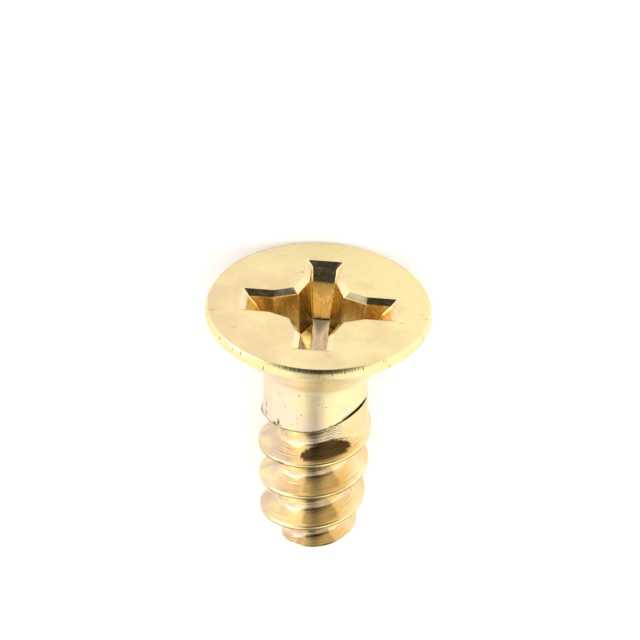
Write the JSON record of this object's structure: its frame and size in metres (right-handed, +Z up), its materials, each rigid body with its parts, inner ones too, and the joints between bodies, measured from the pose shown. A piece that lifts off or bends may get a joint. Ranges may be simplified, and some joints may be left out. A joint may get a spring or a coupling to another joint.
{
  "type": "countersunk wood screw",
  "caption": "Short brass wood screw with a flat countersunk head, cross recess, plain shank and coarse cut thread; fastens hinges and fittings to wood.",
  "frame": {"origin": "on the floor below the middle of the screw's box, as it lies on its side at rest", "axes": "+Z up; +Y towards the head, which stays higher than the tip; +X to the right seen from above with the head at the top"},
  "size_m": [0.0098, 0.0136, 0.0096],
  "materials": {
    "screw": "polished"
  },
  "bodies": {
    "root": {"screw": "screw"}
  },
  "joints": []
}
